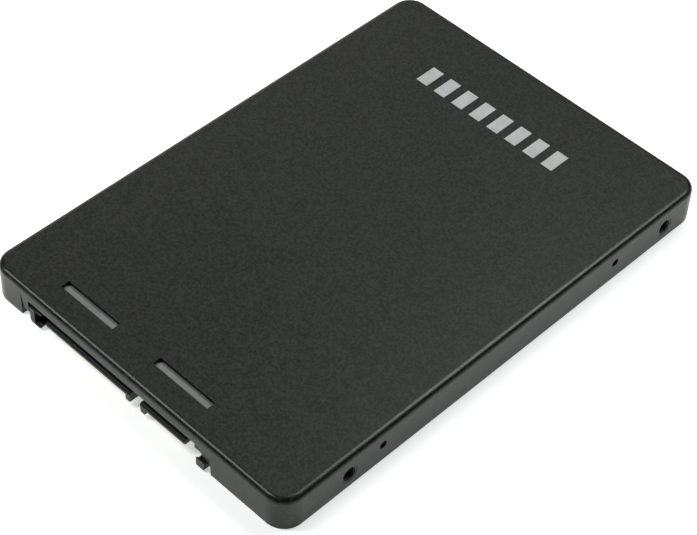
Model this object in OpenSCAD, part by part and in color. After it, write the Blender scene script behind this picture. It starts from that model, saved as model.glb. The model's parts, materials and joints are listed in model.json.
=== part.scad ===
// 2.5-inch solid state drive, 7 mm slim case.
// X runs across the width, Y runs from the connector end (-Y) to the rear end (+Y), Z is up.
// The origin is the centre of the case footprint, on the base plane. All sizes are in millimetres.

/* [Case] */
// Width of the case
body_w = 69.85; // [69.6:0.05:70.1]
// Length of the case, without the connector's guide arms
body_l = 100; // [99.8:0.05:100.2]
// Height of the case
body_h = 7; // [7:0.1:9.5]
// Radius of the four vertical corners
corner_r = 3.8; // [3:0.1:5]
// Radius of the rounded top edge
edge_r = 1; // [0.6:0.05:1.2]
// Thickness of the side walls
wall = 1; // [0.9:0.05:1.1]
// Thickness of the top plate
top_t = 0.8; // [0.7:0.05:0.9]
// Thickness of the bottom cover
base_t = 0.6; // [0.5:0.05:0.6]
// Number of segments on round forms
facets = 64; // [32:8:96]

/* [Mounting holes] */
// Distance of the first pair of M3 holes from the connector end
hole_front = 14; // [13.9:0.05:14.1]
// Distance between the M3 holes along the case
hole_pitch = 76.6; // [76.5:0.05:76.7]
// Distance between the bottom M3 holes across the case
hole_span = 61.72; // [61.6:0.02:61.8]
// Height of the side M3 holes above the base
side_hole_z = 3; // [2.9:0.05:3.1]
// Radius of the tapped M3 holes at the crest of the thread
tap_r = 1.25; // [1.2:0.01:1.3]
// Radius of the opening in the side wall around each tapped boss
side_window_r = 1.7; // [1.65:0.05:1.9]
// Radius of the small snap holes in the side walls
snap_r = 0.75; // [0.7:0.05:0.8]
// Distance of the snap holes from the connector end
snap_places = [21.4, 77.3]; // [20:0.1:80]
// Height of the snap holes above the base
snap_z = 3.8; // [3.6:0.05:3.9]

/* [Connector] */
// Offset of the centre of the two tongues from the centre line of the case
plug_x = -3.9; // [-4.8:0.05:-3.8]
// Distance between the outer faces of the guide arms
plug_w = 42.3; // [41.8:0.05:42.7]
// Offset of the centre of the guide arms from the centre of the tongues
arm_shift = 0.25; // [0:0.05:0.5]
// Length of the power tongue across the case
power_w = 20.57; // [20.5:0.01:20.6]
// Length of the signal tongue across the case
signal_w = 10.41; // [10.3:0.01:10.5]
// Gap between the two tongues
tongue_gap = 2.41; // [2.35:0.01:2.45]
// Thickness of the tongues
tongue_t = 1.23; // [1.2:0.01:1.25]
// Height of the underside of the tongues above the base
tongue_z = 2.07; // [2.05:0.01:2.1]

/* [Top slots] */
// Length of each slot
slot_l = 12.7; // [12:0.1:13]
// Width of each slot
slot_w = 1.75; // [1.6:0.05:1.9]
// Distance of the slots' centre line from the connector end
slot_y = 5.62; // [5.5:0.02:5.7]
// Distance of the slot centres from the centre line of the case
slot_places = [-15.9, 6.5]; // [-17:0.05:8]

/* [Hidden] */
$fn = facets;

eps = 0.01;
cut = 1;
hole_rear = hole_front + hole_pitch;
hole_places = [hole_front, hole_rear];
cavity_h = body_h - top_t;
inner_x = body_w / 2 - wall;
inner_r = corner_r - wall;
seat = 0.1;

// Front wall: the band between the two corner posts leans inwards, and the mouth is cut through it.
notch_left = -27.1;
notch_right = 18.65;
mouth_left = -25.4;
mouth_right = 16.5;
mouth_top = 4.5;
mouth_r = 0.5;
band_top = 5.3;
band_foot = 1.65;
band_lean = 0.2;
slot_corner_r = 0.2;

// Side rails.
rail_t = 2;
rail_ends = [8.9, 95.5];
block_l = 9;
block_w = 6.5;
side_tap_depth = 2.4;
bottom_tap_depth = 5;
tap_mouth = 0.12;
foot_r = 2.6;
boss_r = 1.65;
boss_recess = 0.05;
side_mouth_r = 1.36;
side_mouth_t = 0.3;
lug_places = [22, 74];
lug_x = 25.2;
lug_l = 5;
lug_t = 1.8;
cover_screw_x = 30.6;
cover_screw_places = [31, 67];
post_w = 3.25;
post_l = 4.4;
cover_tap_depth = 3;
m2_r = 0.95;
m2_hole_r = 1;

// Snap springs.
spring_l = 9.2;
spring_h = 2.4;
spring_t = 0.3;
spring_pocket = 1;
spring_gap = 0.05;
dome_r = 0.68;

// Circuit board.
board_w = 55;
board_t = 0.8;
board_front = 8.9;
board_rear = 79;
board_top = 2;
film_t = 0.1;
board_r = 1;
board_hole_r = 1.1;

// Packages on the board: centre, size across X and Y, height, and the rows of small ones.
chip_t = 1.1;
controller_y = 36;
controller_size = [14, 14];
memory_rows = [53, 69];
memory_x = 10.5;
memory_size = [18, 12];
cache_x = -15;
cache_size = [7.5, 12];
cache_t = 1;
manager_place = [-15, 20];
manager_size = [5, 5];
switch_place = [-8.5, 15];
switch_size = [3, 3];
boot_place = [13, 31];
boot_size = [6, 5];
small_chip_t = 0.8;
inductor_places = [[-21, 27], [-15.5, 27], [-8.5, 21]];
inductor_size = [4, 4];
inductor_t = 1.8;
inductor_r = 0.6;
holdup_size = [4.3, 7.3];
holdup_t = 1.9;
holdup_r = 0.3;
small_size = [0.5, 1];
small_r = 0.05;
capacitor_t = 0.5;
resistor_t = 0.35;
wide_size = [0.8, 1.6];
wide_t = 0.8;
crystal_place = [11.5, 38.5];
crystal_size = [3.2, 2.5];
crystal_t = 0.7;
crystal_r = 0.3;
diode_size = [1.2, 2];
diode_t = 0.6;
led_place = [22, 76.5];
led_size = [1.6, 0.8];
heat_pad_size = [38, 11];
heat_pad_r = 0.5;

// Rows of small parts: first place, step and count.
small_rows = [
    [[-8, 44.6], [2, 0], 9], [[-20.8, 48.5], [0, 2], 5],
    [[20.8, 48.5], [0, 2], 5], [[-6, 76.8], [2, 0], 7]
];
wide_row = [[9, 25.5], [2, 0], 6];
resistor_rows = [[[-6.5, 27], [1.8, 0], 8], [[2, 14.5], [1.5, 0], 6]];
holdup_row = [[20.5, 31], [0, 9], 4];
diode_row = [[-20, 13.2], [3.2, 0], 4];

// Connector.
body_front = 5;
body_rear = 8.7;
body_z = [0.75, 5.6];
tongue_tip = -0.15;
tongue_bevel = 0.3;
tongue_step = 0.14;
tongue_step_y = 1;
key_front = -0.05;
arm_tip = -0.35;
arm_r = 0.6;
arms_x = plug_x + arm_shift;
arms_left = arms_x - plug_w / 2;
arms_right = arms_x + plug_w / 2;
power_arm_tip = -0.12;
power_arm_w = 2.75;
power_arm_t = 1.15;
power_arm_z = [0.25, 3.65];
arm_floor_t = 0.7;
arm_roof_t = 0.25;
arm_roof_recess = 0.15;
arm_lead_in = 0.4;
signal_arm_w = 1.8;
signal_arm_z = [0.25, 1.55];
signal_lip_l = 0.3;
signal_lip_h = 0.45;
shoulder_w = 3.7;
shoulder_z = [1.45, 4.45];
power_x = plug_x - (power_w + tongue_gap + signal_w) / 2;
signal_x = power_x + power_w + tongue_gap;
key_w = 1.15;
key_drop = 1.05;
key_r = 0.3;
pitch = 1.27;
contact_w = 0.84;
contact_t = 0.15;
contact_tail = 11.2;
early_tip = 0.35;
late_tip = 0.85;
power_pins = 15;
signal_pins = 7;
early_power = [2, 3, 11, 12];
early_signal = [0, 3, 6];

lock_inset = 2.2;
lock_size = [3.2, 3.6, 2.6];
lock_t = 0.25;

// Clamp over the connector, with the pads that stand up into the top slots.
clamp_y = 6;
clamp_l = 5;
clamp_r = 1;
pad_h = 0.15;
pad_shift = [0.13, -0.08];
pad_gap = [0.4, 0.34];
pad_r = 0.35;

// Bottom label in its shallow recess.
label_y = 52;
label_size = [52, 64];
label_r = 2;
label_t = 0.1;
label_gap = 0.2;
label_sunk = 0.02;

// Screws.
screw_recess_w = 0.42;
cover_head_r = 1.75;
cover_head_h = 0.5;
cover_head_z = 0.05;
cover_head_gap = 0.11;
cover_shank_l = 3;
board_head_r = 1.9;
board_head_h = 0.45;
board_shank_l = 2.3;

// Printed bars on the top plate near the rear edge.
print_t = 0.02;
bar_count = 8;
bar_size = [2.5, 4.6];
bar_gap = 1.75;
bar_centre = [-1.2, 85.6];

// Draws with Y counted from the connector end of the case.
module from_front() translate([0, -body_l / 2, 0]) children();

// Both copies of something that stands on the +X side.
module both_sides() {
    children();
    mirror([1, 0, 0]) children();
}

// Rectangle with rounded corners, centred on X and Y.
module round_rect(w, l, r) {
    square([w - 2 * r, l], center = true);
    square([w, l - 2 * r], center = true);
    for (x = [-1, 1], y = [-1, 1])
        translate([x * (w / 2 - r), y * (l / 2 - r)]) circle(r);
}

// Half of the wall section: flat top, rounded upper edge, square foot, from 0 out to reach.
module edge_section(reach) {
    square([reach, body_h - edge_r]);
    square([reach - edge_r, body_h]);
    translate([reach - edge_r, body_h - edge_r]) circle(edge_r);
}

// Straight run of the edge section along X, facing -Y, with its outer face on the X axis.
module edge_run(length)
    rotate([90, 0, 90])
        linear_extrude(length)
            translate([corner_r, 0])
                mirror([1, 0])
                    intersection() {
                        edge_section(corner_r);
                        square([corner_r, body_h]);
                    }

// Case outline as one block, centred on X, with the front face at Y = 0.
module case_block() {
    straight_x = body_w - 2 * corner_r;
    straight_y = body_l - 2 * corner_r;
    translate([-straight_x / 2, 0, 0]) edge_run(straight_x);
    translate([straight_x / 2, body_l, 0]) rotate(180) edge_run(straight_x);
    translate([body_w / 2, corner_r, 0]) rotate(90) edge_run(straight_y);
    translate([-body_w / 2, body_l - corner_r, 0]) rotate(-90) edge_run(straight_y);
    translate([-straight_x / 2, corner_r, 0]) cube([straight_x, straight_y, body_h]);
    for (i = [0:3])
        translate([
            (i == 0 || i == 3 ? 1 : -1) * straight_x / 2,
            i < 2 ? body_l - corner_r : corner_r,
            0
        ])
            rotate(90 * i)
                rotate_extrude(angle = 90)
                    intersection() {
                        edge_section(corner_r);
                        square([corner_r, body_h]);
                    }
}

// Wedge that leans the front band inwards between the two corner posts.
module band_wedge()
    translate([notch_left, 0, 0])
        rotate([90, 0, 90])
            linear_extrude(notch_right - notch_left)
                polygon([
                    [-cut, -cut], [band_lean, -cut], [band_lean, band_foot],
                    [0, band_top], [-cut, band_top]
                ]);

// Mouth through the front wall, with rounded upper corners and open below.
module mouth() {
    mouth_w = mouth_right - mouth_left;
    mouth_h = 2 * mouth_top;
    translate([(mouth_left + mouth_right) / 2, wall + cut, 0])
        rotate([90, 0, 0])
            linear_extrude(wall + 2 * cut) round_rect(mouth_w, mouth_h, mouth_r);
    translate([notch_left, -cut, -cut])
        cube([notch_right - notch_left, wall + 2 * cut, band_foot + cut]);
}

module top_slots()
    for (x = slot_places)
        translate([x, slot_y, cavity_h - cut])
            linear_extrude(top_t + 2 * cut) round_rect(slot_l, slot_w, slot_corner_r);

// Round openings through both side walls.
module side_openings(places, z, r)
    for (y = places)
        translate([-body_w / 2 - cut, y, z])
            rotate([0, 90, 0]) cylinder(h = body_w + 2 * cut, r = r);

module top_shell()
    color("#2f3131")
        from_front() difference() {
            case_block();
            translate([0, body_l / 2, -cut])
                linear_extrude(cavity_h + cut)
                    round_rect(2 * inner_x, body_l - 2 * wall, inner_r);
            band_wedge();
            mouth();
            top_slots();
            side_openings(hole_places, side_hole_z, side_window_r);
            side_openings(snap_places, snap_z, snap_r);
        }

// Cross recess in a screw head that lies on the plane z = 0.
module cross_recess(head_r, head_h)
    for (a = [0, 90]) rotate(a) cube([head_r, screw_recess_w, 1.2 * head_h], center = true);

// Countersunk M2 screw standing on its head, with a cross recess.
module cover_screw()
    difference() {
        union() {
            cylinder(h = cover_head_h, r1 = cover_head_r, r2 = m2_r);
            translate([0, 0, cover_head_h]) cylinder(h = cover_shank_l, r = m2_r);
        }
        cross_recess(cover_head_r, cover_head_h);
    }

module cover_screws()
    color("#26282a")
        from_front() both_sides()
            for (y = cover_screw_places)
                translate([cover_screw_x, y, cover_head_z]) cover_screw();

module bottom_cover()
    color("#3a3c3d")
        from_front() difference() {
            translate([0, body_l / 2, 0])
                linear_extrude(base_t)
                    round_rect(2 * (inner_x - seat), body_l - 2 * (wall + seat), inner_r - seat);
            translate([notch_left, -cut, -cut])
                cube([notch_right - notch_left, body_front + cut, base_t + 2 * cut]);
            both_sides() {
                for (y = hole_places)
                    translate([hole_span / 2, y, -cut]) cylinder(h = base_t + 2 * cut, r = foot_r + seat);
                for (y = cover_screw_places)
                    translate([cover_screw_x, y, 0])
                        cylinder(h = base_t + eps, r1 = cover_head_r + cover_head_gap, r2 = m2_hole_r);
            }
            translate([0, label_y, -cut])
                linear_extrude(cut + label_t + label_sunk)
                    round_rect(
                        label_size[0] + 2 * label_gap,
                        label_size[1] + 2 * label_gap,
                        label_r + label_gap
                    );
        }

module bottom_label()
    color("#d9dbda")
        from_front()
            translate([0, label_y, label_sunk])
                linear_extrude(label_t) round_rect(label_size[0], label_size[1], label_r);

// Right-hand rail: wall, two tapped blocks, two board lugs and two cover-screw posts.
module rail() {
    rail_l = rail_ends[1] - rail_ends[0];
    difference() {
        union() {
            translate([inner_x - rail_t, rail_ends[0], base_t])
                cube([rail_t, rail_l, cavity_h - base_t]);
            for (y = hole_places) {
                translate([inner_x - block_w, y - block_l / 2, base_t])
                    cube([block_w, block_l, cavity_h - base_t]);
                translate([hole_span / 2, y, 0]) cylinder(h = base_t + cut, r = foot_r);
                translate([inner_x - cut, y, side_hole_z])
                    rotate([0, 90, 0]) cylinder(h = cut + wall - boss_recess, r = boss_r);
            }
            for (y = lug_places)
                translate([lug_x - lug_l / 2, y - lug_l / 2, board_top])
                    cube([inner_x - rail_t / 2 - lug_x + lug_l / 2, lug_l, lug_t]);
            for (y = cover_screw_places)
                translate([inner_x - rail_t / 2 - post_w, y - post_l / 2, base_t])
                    cube([post_w + rail_t / 4, post_l, cavity_h - base_t]);
        }
        for (y = hole_places) {
            translate([hole_span / 2, y, -cut]) cylinder(h = bottom_tap_depth + cut, r = tap_r);
            translate([hole_span / 2, y, -eps])
                cylinder(h = tap_mouth + eps, r1 = tap_r + tap_mouth + eps, r2 = tap_r);
            translate([body_w / 2 - boss_recess, y, side_hole_z])
                rotate([0, -90, 0]) {
                    translate([0, 0, -cut]) cylinder(h = side_tap_depth + cut, r = tap_r);
                    translate([0, 0, -cut]) cylinder(h = side_mouth_t + cut, r = side_mouth_r);
                }
        }
        for (y = lug_places)
            translate([lug_x, y, board_top - cut]) cylinder(h = lug_t + 2 * cut, r = m2_hole_r);
        for (y = cover_screw_places)
            translate([cover_screw_x, y, base_t - cut]) cylinder(h = cover_tap_depth + cut, r = m2_hole_r);
        for (y = snap_places)
            translate([inner_x - spring_pocket, y - spring_l / 2 - seat, snap_z - spring_h / 2 - seat])
                cube([spring_pocket + cut, spring_l + 2 * seat, spring_h + 2 * seat]);
    }
}

module rail_right() color("#2a2c2d") from_front() rail();

module rail_left() color("#2a2c2d") from_front() mirror([1, 0, 0]) rail();

// Leaf with two bent feet and a dome that clicks into the snap hole of the side wall.
module snap_spring() {
    leaf_x = inner_x - spring_gap - spring_t;
    translate([leaf_x, -spring_l / 2, -spring_h / 2]) cube([spring_t, spring_l, spring_h]);
    for (y = [-spring_l / 2, spring_l / 2 - spring_t])
        translate([inner_x - spring_pocket, y, -spring_h / 2])
            cube([spring_pocket - spring_gap - spring_t / 2, spring_t, spring_h]);
    intersection() {
        translate([leaf_x + spring_t / 2, 0, 0]) sphere(dome_r);
        translate([leaf_x + spring_t / 2, -cut, -cut]) cube(2 * cut);
    }
}

module snap_springs()
    color("#8b8d8f")
        from_front() both_sides()
            for (y = snap_places) translate([0, y, snap_z]) snap_spring();

// Section of a tongue: chamfered tip, then a shallow step up to full thickness.
module tongue_section() {
    top = tongue_z + tongue_t;
    lower_top = top - tongue_step;
    bevel_y = tongue_tip + tongue_bevel;
    polygon([
        [tongue_tip, tongue_z + tongue_bevel], [bevel_y, tongue_z],
        [body_front + cut, tongue_z], [body_front + cut, top],
        [tongue_step_y, top], [tongue_step_y - tongue_step, lower_top],
        [bevel_y, lower_top], [tongue_tip, lower_top - tongue_bevel]
    ]);
}

module tongue(x, w) translate([x, 0, 0]) rotate([90, 0, 90]) linear_extrude(w) tongue_section();

// Upright section with two rounded lower corners.
module post_section(w, h, r) {
    translate([0, r]) square([w, h - r]);
    translate([r, 0]) square([w - 2 * r, r]);
    for (x = [r, w - r]) translate([x, r]) circle(r);
}

// Runs a section, drawn in X and Z, back from the plane y = front to the connector's body.
module run_back(front)
    translate([0, body_front + cut, 0])
        rotate([90, 0, 0]) linear_extrude(body_front + cut - front) children();

// Short leg of the L-shaped key under one end of a tongue.
module key_leg(x)
    run_back(key_front)
        translate([x, tongue_z - key_drop]) post_section(key_w, key_drop + tongue_t / 2, key_r);

// Channel-shaped guide arm beside the power tongue: open towards it, with a lead-in on its floor.
module power_arm() {
    channel_x = arms_left + power_arm_t;
    channel_w = power_arm_w - power_arm_t + cut;
    floor_z = power_arm_z[0] + arm_floor_t;
    difference() {
        run_back(power_arm_tip)
            translate([arms_left, power_arm_z[0]])
                post_section(power_arm_w, power_arm_z[1] - power_arm_z[0], arm_r);
        translate([channel_x, power_arm_tip - cut, floor_z])
            cube([channel_w, body_front - power_arm_tip + cut, power_arm_z[1] - floor_z - arm_roof_t]);
        translate([channel_x, power_arm_tip - cut, power_arm_z[1] - cut])
            cube([channel_w, cut + arm_roof_recess, 2 * cut]);
        translate([channel_x, power_arm_tip, floor_z])
            rotate([90, 0, 90])
                linear_extrude(channel_w)
                    polygon([
                        [-cut, -arm_lead_in - cut], [0, -arm_lead_in],
                        [arm_lead_in, 0], [arm_lead_in, cut], [-cut, cut]
                    ]);
    }
}

// Guide post beside the signal tongue: a low bar, a raised lip at its tip and a shoulder behind.
module signal_arm() {
    run_back(arm_tip)
        translate([arms_right - signal_arm_w, signal_arm_z[0]])
            post_section(signal_arm_w, signal_arm_z[1] - signal_arm_z[0], arm_r / 3);
    translate([arms_right - signal_arm_w, arm_tip, signal_arm_z[1] - eps])
        cube([signal_arm_w, signal_lip_l, signal_lip_h + eps]);
    translate([arms_right - shoulder_w, wall + seat, shoulder_z[0]])
        cube([shoulder_w, body_front - wall, shoulder_z[1] - shoulder_z[0]]);
}

// X of the centre of each contact in a row that is centred on its tongue.
function contact_x(x, w, count, i) = x + w / 2 + (i - (count - 1) / 2) * pitch;

// One row of straight contact blades; the early ones reach further forward. grow widens the cut for them.
module contact_row(x, w, count, early, grow)
    for (i = [0:count - 1]) {
        tip = len(search(i, early)) > 0 ? early_tip : late_tip;
        translate([contact_x(x, w, count, i) - contact_w / 2 - grow, tip - grow, board_top - grow])
            cube([contact_w + 2 * grow, contact_tail - tip + grow, contact_t + 2 * grow]);
    }

module power_contacts()
    color("#c9a44c")
        from_front() contact_row(power_x, power_w, power_pins, early_power, 0);

module signal_contacts()
    color("#c9a44c")
        from_front() contact_row(signal_x, signal_w, signal_pins, early_signal, 0);

module connector_housing()
    color("#151617")
        from_front() difference() {
            union() {
                translate([arms_left, body_front, body_z[0]])
                    cube([plug_w, body_rear - body_front, body_z[1] - body_z[0]]);
                tongue(power_x, power_w);
                tongue(signal_x, signal_w);
                key_leg(power_x + power_w - key_w);
                key_leg(signal_x);
                power_arm();
                signal_arm();
            }
            contact_row(power_x, power_w, power_pins, early_power, eps);
            contact_row(signal_x, signal_w, signal_pins, early_signal, eps);
        }

// Brackets that solder to the board and hold the back of the connector.
module board_locks()
    color("#b9bcbe")
        from_front()
            for (side = [-1, 1])
                translate([
                    arms_x + side * (plug_w / 2 - lock_inset) - lock_size[0] / 2,
                    body_rear,
                    board_top
                ]) {
                    cube([lock_size[0], lock_t, lock_size[2]]);
                    cube([lock_size[0], lock_size[1], lock_t]);
                }

// Pressed steel strap over the connector, with two raised pads that stand up into the top slots.
module connector_clamp()
    color("#8a8d90")
        from_front() {
            translate([arms_x, clamp_y, body_z[1]])
                linear_extrude(cavity_h - body_z[1]) round_rect(plug_w, clamp_l, clamp_r);
            for (x = slot_places)
                translate([x + pad_shift[0], slot_y + pad_shift[1], cavity_h - eps])
                    linear_extrude(pad_h + eps)
                        round_rect(slot_l - pad_gap[0], slot_w - pad_gap[1], pad_r);
        }

module main_board()
    color("#1d5a3a")
        from_front() difference() {
            translate([0, (board_front + board_rear) / 2, board_top - board_t])
                linear_extrude(board_t) round_rect(board_w, board_rear - board_front, board_r);
            both_sides()
                for (y = lug_places)
                    translate([lug_x, y, 0]) cylinder(h = 2 * board_top, r = board_hole_r);
        }

// Wafer-head screw that goes up through the board into a rail lug.
module board_screw()
    difference() {
        union() {
            cylinder(h = board_head_h, r = board_head_r);
            cylinder(h = board_head_h + board_shank_l, r = m2_r);
        }
        cross_recess(board_head_r, board_head_h);
    }

module board_screws()
    color("#9a9c9e")
        from_front() both_sides()
            for (y = lug_places)
                translate([lug_x, y, board_top - board_t - board_head_h]) board_screw();

// Flat package on the board: centre, size across X and Y, and height.
module package(place, size, h, r = 0.15)
    from_front()
        translate([place[0], place[1], board_top]) linear_extrude(h) round_rect(size[0], size[1], r);

// Row of equal packages: row holds the first place, the step and the count.
module package_row(row, size, h, r = 0.15)
    for (i = [0:row[2] - 1]) package(row[0] + i * row[1], size, h, r);

module controller_chip() color("#202224") package([0, controller_y], controller_size, chip_t);

// Flash memory package: side is -1 or 1, row is 0 or 1.
module memory_chip(side, row)
    color("#1c1d1f") package([side * memory_x, memory_rows[row]], memory_size, chip_t);

module memory_chip_1() memory_chip(-1, 0);

module memory_chip_2() memory_chip(1, 0);

module memory_chip_3() memory_chip(-1, 1);

module memory_chip_4() memory_chip(1, 1);

module cache_chip() color("#1c1d1f") package([cache_x, controller_y], cache_size, cache_t);

module power_manager_chip() color("#202224") package(manager_place, manager_size, small_chip_t);

module load_switch_chip() color("#202224") package(switch_place, switch_size, small_chip_t);

module boot_chip() color("#202224") package(boot_place, boot_size, small_chip_t);

module power_inductors()
    color("#4a4a48")
        for (place = inductor_places) package(place, inductor_size, inductor_t, inductor_r);

module holdup_capacitors()
    color("#a8842c") package_row(holdup_row, holdup_size, holdup_t, holdup_r);

// Rows of small ceramic capacitors around the main packages.
module ceramic_capacitors()
    color("#b58f63") {
        for (row = small_rows) package_row(row, small_size, capacitor_t, small_r);
        package_row(wide_row, wide_size, wide_t, small_r);
    }

module chip_resistors()
    color("#2b2b2d")
        for (row = resistor_rows) package_row(row, small_size, resistor_t, small_r);

module clock_crystal() color("#c2c5c8") package(crystal_place, crystal_size, crystal_t, crystal_r);

module surge_diodes()
    color("#202224") package_row(diode_row, diode_size, diode_t);

module status_led() color("#cfe8d0") package(led_place, led_size, diode_t, small_r);

// Soft pad that carries heat from a package up to the top plate.
module heat_pad(y, size)
    color("#7d93ad")
        from_front()
            translate([0, y, board_top + chip_t])
                linear_extrude(cavity_h - board_top - chip_t) round_rect(size[0], size[1], heat_pad_r);

module controller_pad() heat_pad(controller_y, controller_size);

module memory_pad_front() heat_pad(memory_rows[0], heat_pad_size);

module memory_pad_rear() heat_pad(memory_rows[1], heat_pad_size);

module insulating_film()
    color("#d8b14a")
        from_front()
            translate([0, (board_front + board_rear) / 2, base_t])
                linear_extrude(film_t) round_rect(board_w, board_rear - board_front, board_r);

// Row of plain upright bars, printed on the top plate.
module printed_bars()
    color("#a3a6a8")
        from_front()
            for (i = [0:bar_count - 1]) {
                x = (i - (bar_count - 1) / 2) * (bar_size[0] + bar_gap);
                translate([bar_centre[0] + x, bar_centre[1], body_h])
                    linear_extrude(print_t) square(bar_size, center = true);
            }

top_shell();
bottom_cover();
rail_left();
rail_right();
snap_springs();
connector_housing();
signal_contacts();
power_contacts();
board_locks();
connector_clamp();
main_board();
controller_chip();
memory_chip_1();
memory_chip_2();
memory_chip_3();
memory_chip_4();
cache_chip();
power_manager_chip();
load_switch_chip();
boot_chip();
power_inductors();
holdup_capacitors();
ceramic_capacitors();
chip_resistors();
clock_crystal();
surge_diodes();
status_led();
controller_pad();
memory_pad_front();
memory_pad_rear();
insulating_film();
bottom_label();
board_screws();
cover_screws();
printed_bars();
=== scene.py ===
"""Slim 2.5-inch solid state drive on a pale floor, seen from above its connector corner.

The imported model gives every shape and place. This script adds the finishes, the fine parts that the
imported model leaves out, the floor, the lights and the camera. All lengths are in metres, except the
camera's lens, which is in millimetres.
"""

import json
import math

import bmesh
import bpy
from mathutils import Matrix, Vector


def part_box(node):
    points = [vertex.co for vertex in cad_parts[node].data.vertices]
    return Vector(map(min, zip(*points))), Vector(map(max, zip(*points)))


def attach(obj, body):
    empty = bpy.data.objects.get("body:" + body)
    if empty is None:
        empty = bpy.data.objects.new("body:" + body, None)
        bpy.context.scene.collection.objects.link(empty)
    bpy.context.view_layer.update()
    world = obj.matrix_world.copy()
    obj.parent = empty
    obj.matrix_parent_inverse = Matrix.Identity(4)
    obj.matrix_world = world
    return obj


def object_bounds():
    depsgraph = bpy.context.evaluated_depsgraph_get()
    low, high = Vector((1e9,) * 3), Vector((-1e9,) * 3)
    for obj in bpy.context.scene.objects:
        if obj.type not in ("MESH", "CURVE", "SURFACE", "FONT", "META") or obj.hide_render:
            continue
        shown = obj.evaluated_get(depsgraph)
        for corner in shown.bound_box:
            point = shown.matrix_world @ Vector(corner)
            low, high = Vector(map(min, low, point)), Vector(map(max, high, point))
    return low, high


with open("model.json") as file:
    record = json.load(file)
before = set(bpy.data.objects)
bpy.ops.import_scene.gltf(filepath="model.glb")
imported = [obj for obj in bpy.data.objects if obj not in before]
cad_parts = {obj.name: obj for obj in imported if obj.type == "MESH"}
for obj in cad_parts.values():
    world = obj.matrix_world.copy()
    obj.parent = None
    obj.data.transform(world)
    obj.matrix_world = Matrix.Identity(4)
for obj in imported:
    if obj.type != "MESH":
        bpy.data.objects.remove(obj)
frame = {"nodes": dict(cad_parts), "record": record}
cad_low, cad_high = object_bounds()
MM = 0.001


# Node materials ------------------------------------------------------------------------------

# Part of the grain noise's range over which its flecks of colour fade in
FLECK_SPAN = (0.41, 0.59)
# Cosines between the rounded and the flat normal over which the painted edge highlight fades out
HIGHLIGHT_FADE_SPAN = (0.72, 0.98)
# Strength of the painted edge highlight, and the size and lowest level of its patches
HIGHLIGHT_STRENGTH = 0.75
HIGHLIGHT_PATCH = 1.5 * MM
HIGHLIGHT_PATCH_LOW = 0.1
BEVEL_SAMPLES = 6
COAT_ROUGHNESS = 0.2
# Noise scale times blotch size
NOISE_PERIOD = 0.5


def add(tree, kind, inputs=None, **settings):
    """Adds one node. Each input is a plain value or the output socket that feeds it."""
    node = tree.nodes.new(kind)
    for name, value in settings.items():
        setattr(node, name, value)
    for name, value in (inputs or {}).items():
        if isinstance(value, bpy.types.NodeSocket):
            tree.links.new(value, node.inputs[name])
        else:
            node.inputs[name].default_value = value
    return node


def noise(tree, place, size, detail=2.0, rough=0.5):
    """Noise from about 0 to 1 whose blotches are about size across."""
    return add(tree, "ShaderNodeTexNoise", {
        "Vector": place, "Scale": NOISE_PERIOD / size, "Detail": detail, "Roughness": rough,
    }).outputs["Fac"]


def remap(tree, value, low, high, span=(0.3, 0.7)):
    """Stretches span of value onto low to high."""
    return add(tree, "ShaderNodeMapRange", {
        "Value": value, "From Min": span[0], "From Max": span[1], "To Min": low, "To Max": high,
    }).outputs["Result"]


def mix(tree, factor, first, second):
    """Colour between first and second."""
    node = tree.nodes.new("ShaderNodeMix")
    node.data_type = "RGBA"
    for socket, value in ((node.inputs[0], factor), (node.inputs[6], first), (node.inputs[7], second)):
        if isinstance(value, bpy.types.NodeSocket):
            tree.links.new(value, socket)
        elif isinstance(value, (int, float)):
            socket.default_value = value
        else:
            socket.default_value = (*value, 1.0)
    return node.outputs[2]


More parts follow.
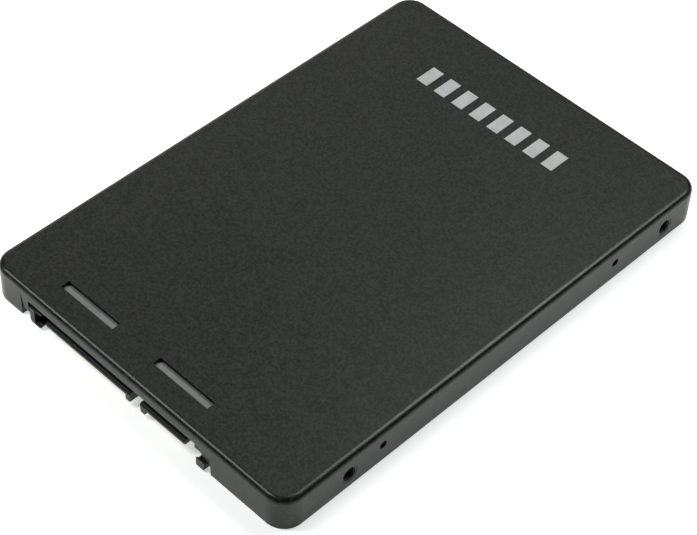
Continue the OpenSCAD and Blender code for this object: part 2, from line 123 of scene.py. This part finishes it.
def finish(name, dark, light, rough, grain, relief, metallic=0.0, specular=0.5, blotch=4 * MM,
           stretch=(1, 1, 1), painted_highlight_colour=None, edge=0.12 * MM, coat=0.0, spread=1.0, fleck=0.35,
           tint=(1, 1, 1)):
    """One procedural material.

    dark and light are the two colours that the blotches run between, as far as spread. rough is
    the span of roughness, grain and relief are the width and height of the surface grain, and
    stretch is a brushing direction. The edge colour is a painted highlight, laid in patches on the
    edges, which are rounded over edge. fleck is how strongly the grain shows in the colour, and tint
    colours the reflections.
    """
    material = bpy.data.materials.new(name)
    material.use_nodes = True
    tree = material.node_tree
    tree.nodes.clear()
    place = add(tree, "ShaderNodeTexCoord").outputs["Object"]
    brushed = add(tree, "ShaderNodeMapping", {"Vector": place, "Scale": stretch}).outputs["Vector"]
    fine = noise(tree, brushed, grain, 3.0, 0.6)
    colour = mix(tree, remap(tree, noise(tree, place, blotch, 4.0), 0.0, spread), dark, light)
    colour = mix(tree, remap(tree, fine, 0.0, fleck, FLECK_SPAN), colour, light)
    roughness = remap(tree, noise(tree, brushed, blotch / 3, 3.0), *rough)
    bump = add(tree, "ShaderNodeBump", {"Height": fine, "Strength": 1.0, "Distance": relief})
    if painted_highlight_colour:
        rounded = add(tree, "ShaderNodeBevel", {"Radius": edge}, samples=BEVEL_SAMPLES).outputs["Normal"]
        tree.links.new(rounded, bump.inputs["Normal"])
        flat = add(tree, "ShaderNodeNewGeometry").outputs["Normal"]
        turn = add(tree, "ShaderNodeVectorMath", {0: rounded, 1: flat}, operation="DOT_PRODUCT")
        # Painted highlight: the edge colour is laid, in patches, where the rounded normal turns away
        # from the flat one
        edge_highlight_mask = remap(tree, turn.outputs["Value"], HIGHLIGHT_STRENGTH, 0.0, HIGHLIGHT_FADE_SPAN)
        patchy_highlight_mask = add(tree, "ShaderNodeMath", {
            0: edge_highlight_mask, 1: remap(tree, noise(tree, place, HIGHLIGHT_PATCH, 4.0), HIGHLIGHT_PATCH_LOW, 1.0),
        }, operation="MULTIPLY").outputs["Value"]
        colour = mix(tree, patchy_highlight_mask, colour, painted_highlight_colour)
    shader = add(tree, "ShaderNodeBsdfPrincipled", {
        "Base Color": colour, "Roughness": roughness, "Normal": bump.outputs["Normal"],
        "Metallic": metallic, "Specular IOR Level": specular, "Coat Weight": coat,
    })
    shader.inputs["Coat Roughness"].default_value = COAT_ROUGHNESS
    shader.inputs["Specular Tint"].default_value = (*tint, 1.0)
    add(tree, "ShaderNodeOutputMaterial", {"Surface": shader.outputs["BSDF"]})
    return material


# Each edge colour given below is a painted highlight along the part's edges
FINISHES = {
    "shell_black": finish(
        "shell_black", (0.0004, 0.0005, 0.0004), (0.0158, 0.0165, 0.0149), (0.27, 0.32), 0.2 * MM,
        0.012 * MM, painted_highlight_colour=(0.014, 0.015, 0.014), edge=0.1 * MM, specular=0.27, spread=0.12, fleck=0.9,
        tint=(0.95, 1.0, 0.93)),
    "cover_black": finish(
        "cover_black", (0.016, 0.0165, 0.017), (0.024, 0.0245, 0.025), (0.34, 0.44), 0.16 * MM,
        0.004 * MM, painted_highlight_colour=(0.05, 0.05, 0.05)),
    "rail_black": finish(
        "rail_black", (0.012, 0.012, 0.0125), (0.022, 0.022, 0.023), (0.35, 0.5), 0.3 * MM,
        0.01 * MM, painted_highlight_colour=(0.06, 0.06, 0.06)),
    "spring_steel": finish(
        "spring_steel", (0.26, 0.27, 0.28), (0.38, 0.39, 0.4), (0.25, 0.38), 0.1 * MM, 0.003 * MM,
        metallic=1.0, stretch=(1, 0.15, 1)),
    "plug_black": finish(
        "plug_black", (0.008, 0.008, 0.0085), (0.014, 0.014, 0.015), (0.28, 0.42), 0.12 * MM,
        0.003 * MM, painted_highlight_colour=(0.09, 0.094, 0.09), edge=0.12 * MM, specular=0.27,
        tint=(0.95, 1.0, 0.95)),
    "contact_gold": finish(
        "contact_gold", (0.7, 0.47, 0.17), (0.86, 0.63, 0.3), (0.16, 0.3), 0.1 * MM, 0.002 * MM,
        metallic=1.0, stretch=(1, 0.2, 1), blotch=1 * MM),
    "clamp_steel": finish(
        "clamp_steel", (0.128, 0.135, 0.132), (0.172, 0.18, 0.177), (0.6, 0.7), 0.15 * MM,
        0.006 * MM, specular=0.3, stretch=(0.3, 1, 1), painted_highlight_colour=(0.3, 0.31, 0.3), blotch=1.2 * MM),
    "tin": finish(
        "tin", (0.48, 0.49, 0.5), (0.62, 0.63, 0.64), (0.25, 0.4), 0.1 * MM, 0.003 * MM,
        metallic=1.0),
    "board_green": finish(
        "board_green", (0.008, 0.07, 0.03), (0.018, 0.12, 0.055), (0.25, 0.38), 0.35 * MM,
        0.004 * MM, blotch=2 * MM, coat=0.3),
    "chip_black": finish(
        "chip_black", (0.014, 0.014, 0.016), (0.026, 0.026, 0.028), (0.5, 0.62), 0.08 * MM,
        0.004 * MM),
    "inductor_grey": finish(
        "inductor_grey", (0.07, 0.07, 0.068), (0.12, 0.12, 0.116), (0.55, 0.7), 0.12 * MM,
        0.006 * MM),
    "capacitor_yellow": finish(
        "capacitor_yellow", (0.36, 0.21, 0.04), (0.48, 0.3, 0.07), (0.35, 0.5), 0.12 * MM,
        0.004 * MM),
    "ceramic_tan": finish(
        "ceramic_tan", (0.33, 0.21, 0.11), (0.48, 0.32, 0.18), (0.35, 0.5), 0.06 * MM,
        0.003 * MM, blotch=0.4 * MM),
    "resistor_black": finish(
        "resistor_black", (0.014, 0.014, 0.016), (0.028, 0.028, 0.03), (0.2, 0.35), 0.06 * MM,
        0.002 * MM, blotch=0.4 * MM),
    "led_clear": finish(
        "led_clear", (0.5, 0.68, 0.5), (0.68, 0.82, 0.68), (0.12, 0.22), 0.1 * MM, 0.002 * MM,
        blotch=0.5 * MM, coat=0.5),
    "pad_blue": finish(
        "pad_blue", (0.16, 0.25, 0.37), (0.25, 0.36, 0.48), (0.65, 0.8), 0.2 * MM, 0.01 * MM),
    "film_amber": finish(
        "film_amber", (0.46, 0.23, 0.03), (0.62, 0.36, 0.07), (0.15, 0.28), 0.5 * MM, 0.003 * MM),
    "label_silver": finish(
        "label_silver", (0.54, 0.55, 0.55), (0.63, 0.64, 0.64), (0.3, 0.4), 0.25 * MM,
        0.002 * MM, blotch=12 * MM, metallic=0.35),
    "screw_black": finish(
        "screw_black", (0.022, 0.022, 0.024), (0.045, 0.045, 0.048), (0.3, 0.42), 0.12 * MM,
        0.003 * MM, metallic=0.7, painted_highlight_colour=(0.3, 0.3, 0.3), edge=0.06 * MM),
    "screw_steel": finish(
        "screw_steel", (0.38, 0.39, 0.4), (0.52, 0.53, 0.54), (0.28, 0.4), 0.12 * MM,
        0.003 * MM, metallic=1.0, painted_highlight_colour=(0.65, 0.65, 0.65), edge=0.06 * MM),
    "print_silver": finish(
        "print_silver", (0.32, 0.325, 0.33), (0.4, 0.405, 0.41), (0.42, 0.52), 0.14 * MM,
        0.003 * MM, blotch=1 * MM),
}

SLOTS = {part["node"]: part["material_slot"] for part in frame["record"]["subparts"]}
for name, node in frame["nodes"].items():
    node.data.materials.clear()
    node.data.materials.append(FINISHES[SLOTS[name]])

# Fine parts ----------------------------------------------------------------------------------

def piece(name, mesh, slot):
    """New object that rides the drive's root in the finish of its slot."""
    data = bpy.data.meshes.new(name)
    mesh.normal_update()
    mesh.to_mesh(data)
    mesh.free()
    made = bpy.data.objects.new(name, data)
    bpy.context.scene.collection.objects.link(made)
    data.materials.append(FINISHES[slot])
    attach(made, "root")


THREAD_PITCH = 0.5 * MM
THREAD_FLANK = 0.19 * MM
THREAD_HEIGHT = 0.12 * MM
# Width of the ridge's foot at its ends, as a share of its full width
THREAD_END = 0.3
THREAD_STEPS = 40
WALL_OVERLAP = 0.01 * MM


def thread(name, mouth, inward, radius, length, slot):
    """Helical ridge on the wall of a tapped bore, from its mouth inward."""
    turn = Vector(inward).to_track_quat("Z", "Y")
    steps = round(length / THREAD_PITCH * THREAD_STEPS)
    mesh = bmesh.new()
    last = None
    for step in range(steps + 1):
        angle = 2 * math.pi * step / THREAD_STEPS
        fade = min(1.0, step / THREAD_STEPS, (steps - step) / THREAD_STEPS)
        middle = step / THREAD_STEPS * THREAD_PITCH
        ring = []
        for shift, reach in ((-1, -WALL_OVERLAP), (0, THREAD_HEIGHT * fade), (1, -WALL_OVERLAP)):
            across = radius - reach
            point = Vector((
                across * math.cos(angle), across * math.sin(angle),
                middle + THREAD_FLANK * (1 + shift * (THREAD_END + (1 - THREAD_END) * fade)),
            ))
            ring.append(mesh.verts.new(Vector(mouth) + turn @ point))
        if last:
            for side in (0, 1, 2):
                other = (side + 1) % 3
                mesh.faces.new((last[side], ring[side], ring[other], last[other]))
        else:
            mesh.faces.new(ring)
        last = ring
    mesh.faces.new(reversed(last))
    bmesh.ops.recalc_face_normals(mesh, faces=mesh.faces)
    piece(name, mesh, slot)


THREAD_LEAD = 0.2 * MM
SIDE_THREAD = 1.7 * MM
BOTTOM_THREAD = 4.2 * MM
for mount in frame["record"]["mounts"]:
    if mount["kind"] != "bolt_pattern":
        continue
    centre = Vector(mount["pos_m"])
    outward = Vector(mount["axis"])
    bore = mount["dims"]["hole_r_mm"] * MM
    if outward.z:
        half_x = mount["dims"]["spacing_x_mm"] / 2 * MM
        half_y = mount["dims"]["spacing_y_mm"] / 2 * MM
        mouths = [Vector((x, centre.y + y, cad_low.z + THREAD_LEAD))
                  for x in (-half_x, half_x) for y in (-half_y, half_y)]
        length = BOTTOM_THREAD
    else:
        # A side mount states its spacing as x, and it runs along the drive.
        half_y = mount["dims"]["spacing_x_mm"] / 2 * MM
        mouths = [centre + Vector((0, y, 0)) for y in (-half_y, half_y)]
        length = SIDE_THREAD
    for number, mouth in enumerate(mouths, 1):
        thread("thread_%s_%d" % (mount["name"], number), mouth, -outward, bore, length, "rail_black")

BORDER_INSET = 1.6 * MM
BORDER_WIDTH = 0.3 * MM
BORDER_RADIUS = 1.2 * MM
BORDER_SINK = 0.004 * MM
BORDER_DROP = 0.012 * MM
CORNER_STEPS = 8


def rounded_outline(low, high, inset, radius):
    """Points around a rounded rectangle that lies inset from low and high."""
    points = []
    for turn, (x, y) in enumerate((
            (high.x - inset, high.y - inset), (low.x + inset, high.y - inset),
            (low.x + inset, low.y + inset), (high.x - inset, low.y + inset))):
        inner_x = x - radius if x > (low.x + high.x) / 2 else x + radius
        inner_y = y - radius if y > (low.y + high.y) / 2 else y + radius
        for step in range(CORNER_STEPS + 1):
            angle = math.pi / 2 * (turn + step / CORNER_STEPS)
            points.append((inner_x + radius * math.cos(angle), inner_y + radius * math.sin(angle)))
    return points


label_low, label_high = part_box("bottom_label")
border = bmesh.new()
loops = [
    [border.verts.new((x, y, label_low.z + rise)) for x, y in rounded_outline(
        label_low, label_high, BORDER_INSET + more, BORDER_RADIUS - more)]
    for more, rise in ((0, BORDER_SINK), (0, -BORDER_DROP), (BORDER_WIDTH, -BORDER_DROP),
                       (BORDER_WIDTH, BORDER_SINK))
]
for first, second in zip(loops, loops[1:] + loops[:1]):
    for spot in range(len(first)):
        after = (spot + 1) % len(first)
        border.faces.new((first[spot], second[spot], second[after], first[after]))
bmesh.ops.recalc_face_normals(border, faces=border.faces)
piece("label_border", border, "resistor_black")

# Floor, lights and camera --------------------------------------------------------------------

FLOOR_RADIUS = 1.6
FLOOR_DROP = 0.02 * MM
# The floor gives off painted light, a glow that falls from left to right, over this distance to each
# side of the middle
FLOOR_PAINTED_GLOW_LEFT = 0.58
FLOOR_PAINTED_GLOW_RIGHT = 0.46
FLOOR_PAINTED_GLOW_REACH = 35 * MM
WORLD_STRENGTH = 0.04
floor_mesh = bmesh.new()
bmesh.ops.create_circle(floor_mesh, cap_ends=True, segments=96, radius=FLOOR_RADIUS)
floor_data = bpy.data.meshes.new("floor")
floor_mesh.to_mesh(floor_data)
floor_mesh.free()
floor = bpy.data.objects.new("floor", floor_data)
floor.location.z = cad_low.z - FLOOR_DROP
bpy.context.scene.collection.objects.link(floor)
paper = finish(
    "floor_paper", (0.86, 0.86, 0.86), (0.9, 0.9, 0.9), (0.6, 0.75), 0.4 * MM, 0.002 * MM,
    specular=0.2, blotch=60 * MM)
across = add(paper.node_tree, "ShaderNodeSeparateXYZ", {
    "Vector": add(paper.node_tree, "ShaderNodeTexCoord").outputs["Object"],
}).outputs["X"]
shader = paper.node_tree.nodes["Principled BSDF"]
# Painted light: the floor glows, more on the left than on the right. This fills its shadows and
# brightens its reflections in the walls.
shader.inputs["Emission Color"].default_value = (0.95, 1.0, 0.98, 1.0)
paper.node_tree.links.new(
    remap(paper.node_tree, across, FLOOR_PAINTED_GLOW_LEFT, FLOOR_PAINTED_GLOW_RIGHT, (-FLOOR_PAINTED_GLOW_REACH, FLOOR_PAINTED_GLOW_REACH)),
    shader.inputs["Emission Strength"])
floor_data.materials.append(paper)


def softbox(name, direction, distance, size, power, roll=0.0, colour=(1.0, 1.0, 1.0)):
    """Area light that stands along direction from the object, faces it and is turned by roll."""
    data = bpy.data.lights.new(name, "AREA")
    data.shape = "RECTANGLE"
    data.size, data.size_y = size
    data.energy = power
    data.color = colour
    light = bpy.data.objects.new(name, data)
    place = Vector(direction).normalized() * distance
    turn = place.to_track_quat("Z", "Y").to_matrix() @ Matrix.Rotation(math.radians(roll), 3, "Z")
    light.matrix_world = Matrix.LocRotScale(place, turn.to_quaternion(), None)
    bpy.context.scene.collection.objects.link(light)


softbox("rear_box", (0.1, 0.64, 1.0), 0.9, (0.64, 0.2), 5.3, roll=25)
softbox("left_box", (-0.61, -0.52, 1.0), 0.9, (0.18, 0.56), 4.9)
softbox("top_panel", (-0.5, 0.46, 0.735), 1.0, (0.7, 0.8), 1.3, colour=(0.98, 1.0, 0.9))
softbox("back_fill", (-0.85, 0.45, 0.35), 1.1, (0.6, 0.4), 1.6)

world = bpy.data.worlds.new("studio")
world.use_nodes = True
sky = world.node_tree
sky.nodes.clear()
glow = add(sky, "ShaderNodeBackground", {
    "Color": (1.0, 1.0, 1.0, 1.0), "Strength": WORLD_STRENGTH,
})
add(sky, "ShaderNodeOutputWorld", {"Surface": glow.outputs["Background"]})
bpy.context.scene.world = world
bpy.context.scene.view_settings.view_transform = "Standard"

# From a least-squares fit to the photograph's outline, with the case taken as 100 mm long
AZIMUTH = math.radians(42.86)
ELEVATION = math.radians(47.32)
ROLL = math.radians(2.82)
DISTANCE = 0.34483
TARGET = Vector((0.00469, -0.00595, 0.0035))
LENS = 106.58

camera_data = bpy.data.cameras.new("camera")
camera_data.lens = LENS
camera_data.clip_start = 0.01
camera = bpy.data.objects.new("camera", camera_data)
forward = Vector((
    -math.sin(AZIMUTH) * math.cos(ELEVATION), math.cos(AZIMUTH) * math.cos(ELEVATION),
    -math.sin(ELEVATION),
))
level = Vector((math.cos(AZIMUTH), math.sin(AZIMUTH), 0.0))
right = level * math.cos(ROLL) + level.cross(forward) * math.sin(ROLL)
axes = Matrix((right, right.cross(forward), -forward)).transposed()
camera.matrix_world = Matrix.LocRotScale(TARGET - forward * DISTANCE, axes.to_quaternion(), None)
bpy.context.scene.collection.objects.link(camera)
bpy.context.scene.camera = camera
